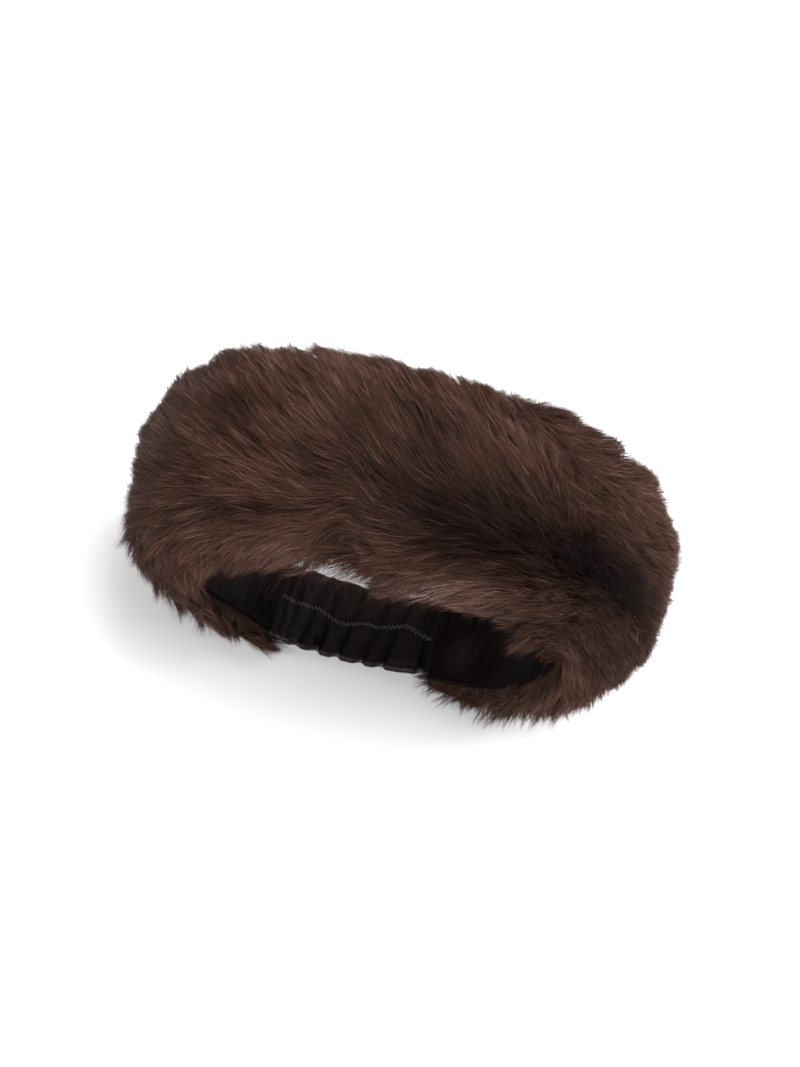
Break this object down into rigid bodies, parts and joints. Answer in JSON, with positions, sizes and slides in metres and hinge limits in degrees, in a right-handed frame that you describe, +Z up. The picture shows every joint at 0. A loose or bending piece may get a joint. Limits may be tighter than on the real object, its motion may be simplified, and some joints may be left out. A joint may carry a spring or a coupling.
{
  "type": "shearling headband",
  "caption": "Wide long-haired shearling headband with a thin satin lining, closed at the back by a gathered elastic casing, lying on its back with the front panel up.",
  "frame": {"origin": "middle of the footprint, on the surface that the band lies on", "axes": "+Z up through the front panel, +Y along the band's own axis, the way a head goes in, +X along the front panel to its right end"},
  "size_m": [0.2625, 0.1263, 0.1831],
  "materials": {
    "shearling": "long soft hair, dark chocolate brown",
    "satin_lining": "smooth satin, dark purple brown",
    "gathered_casing": "black satin, gathered"
  },
  "bodies": {
    "root": {"shearling_band": "shearling", "lining": "satin_lining", "elastic_back": "gathered_casing"}
  },
  "joints": []
}
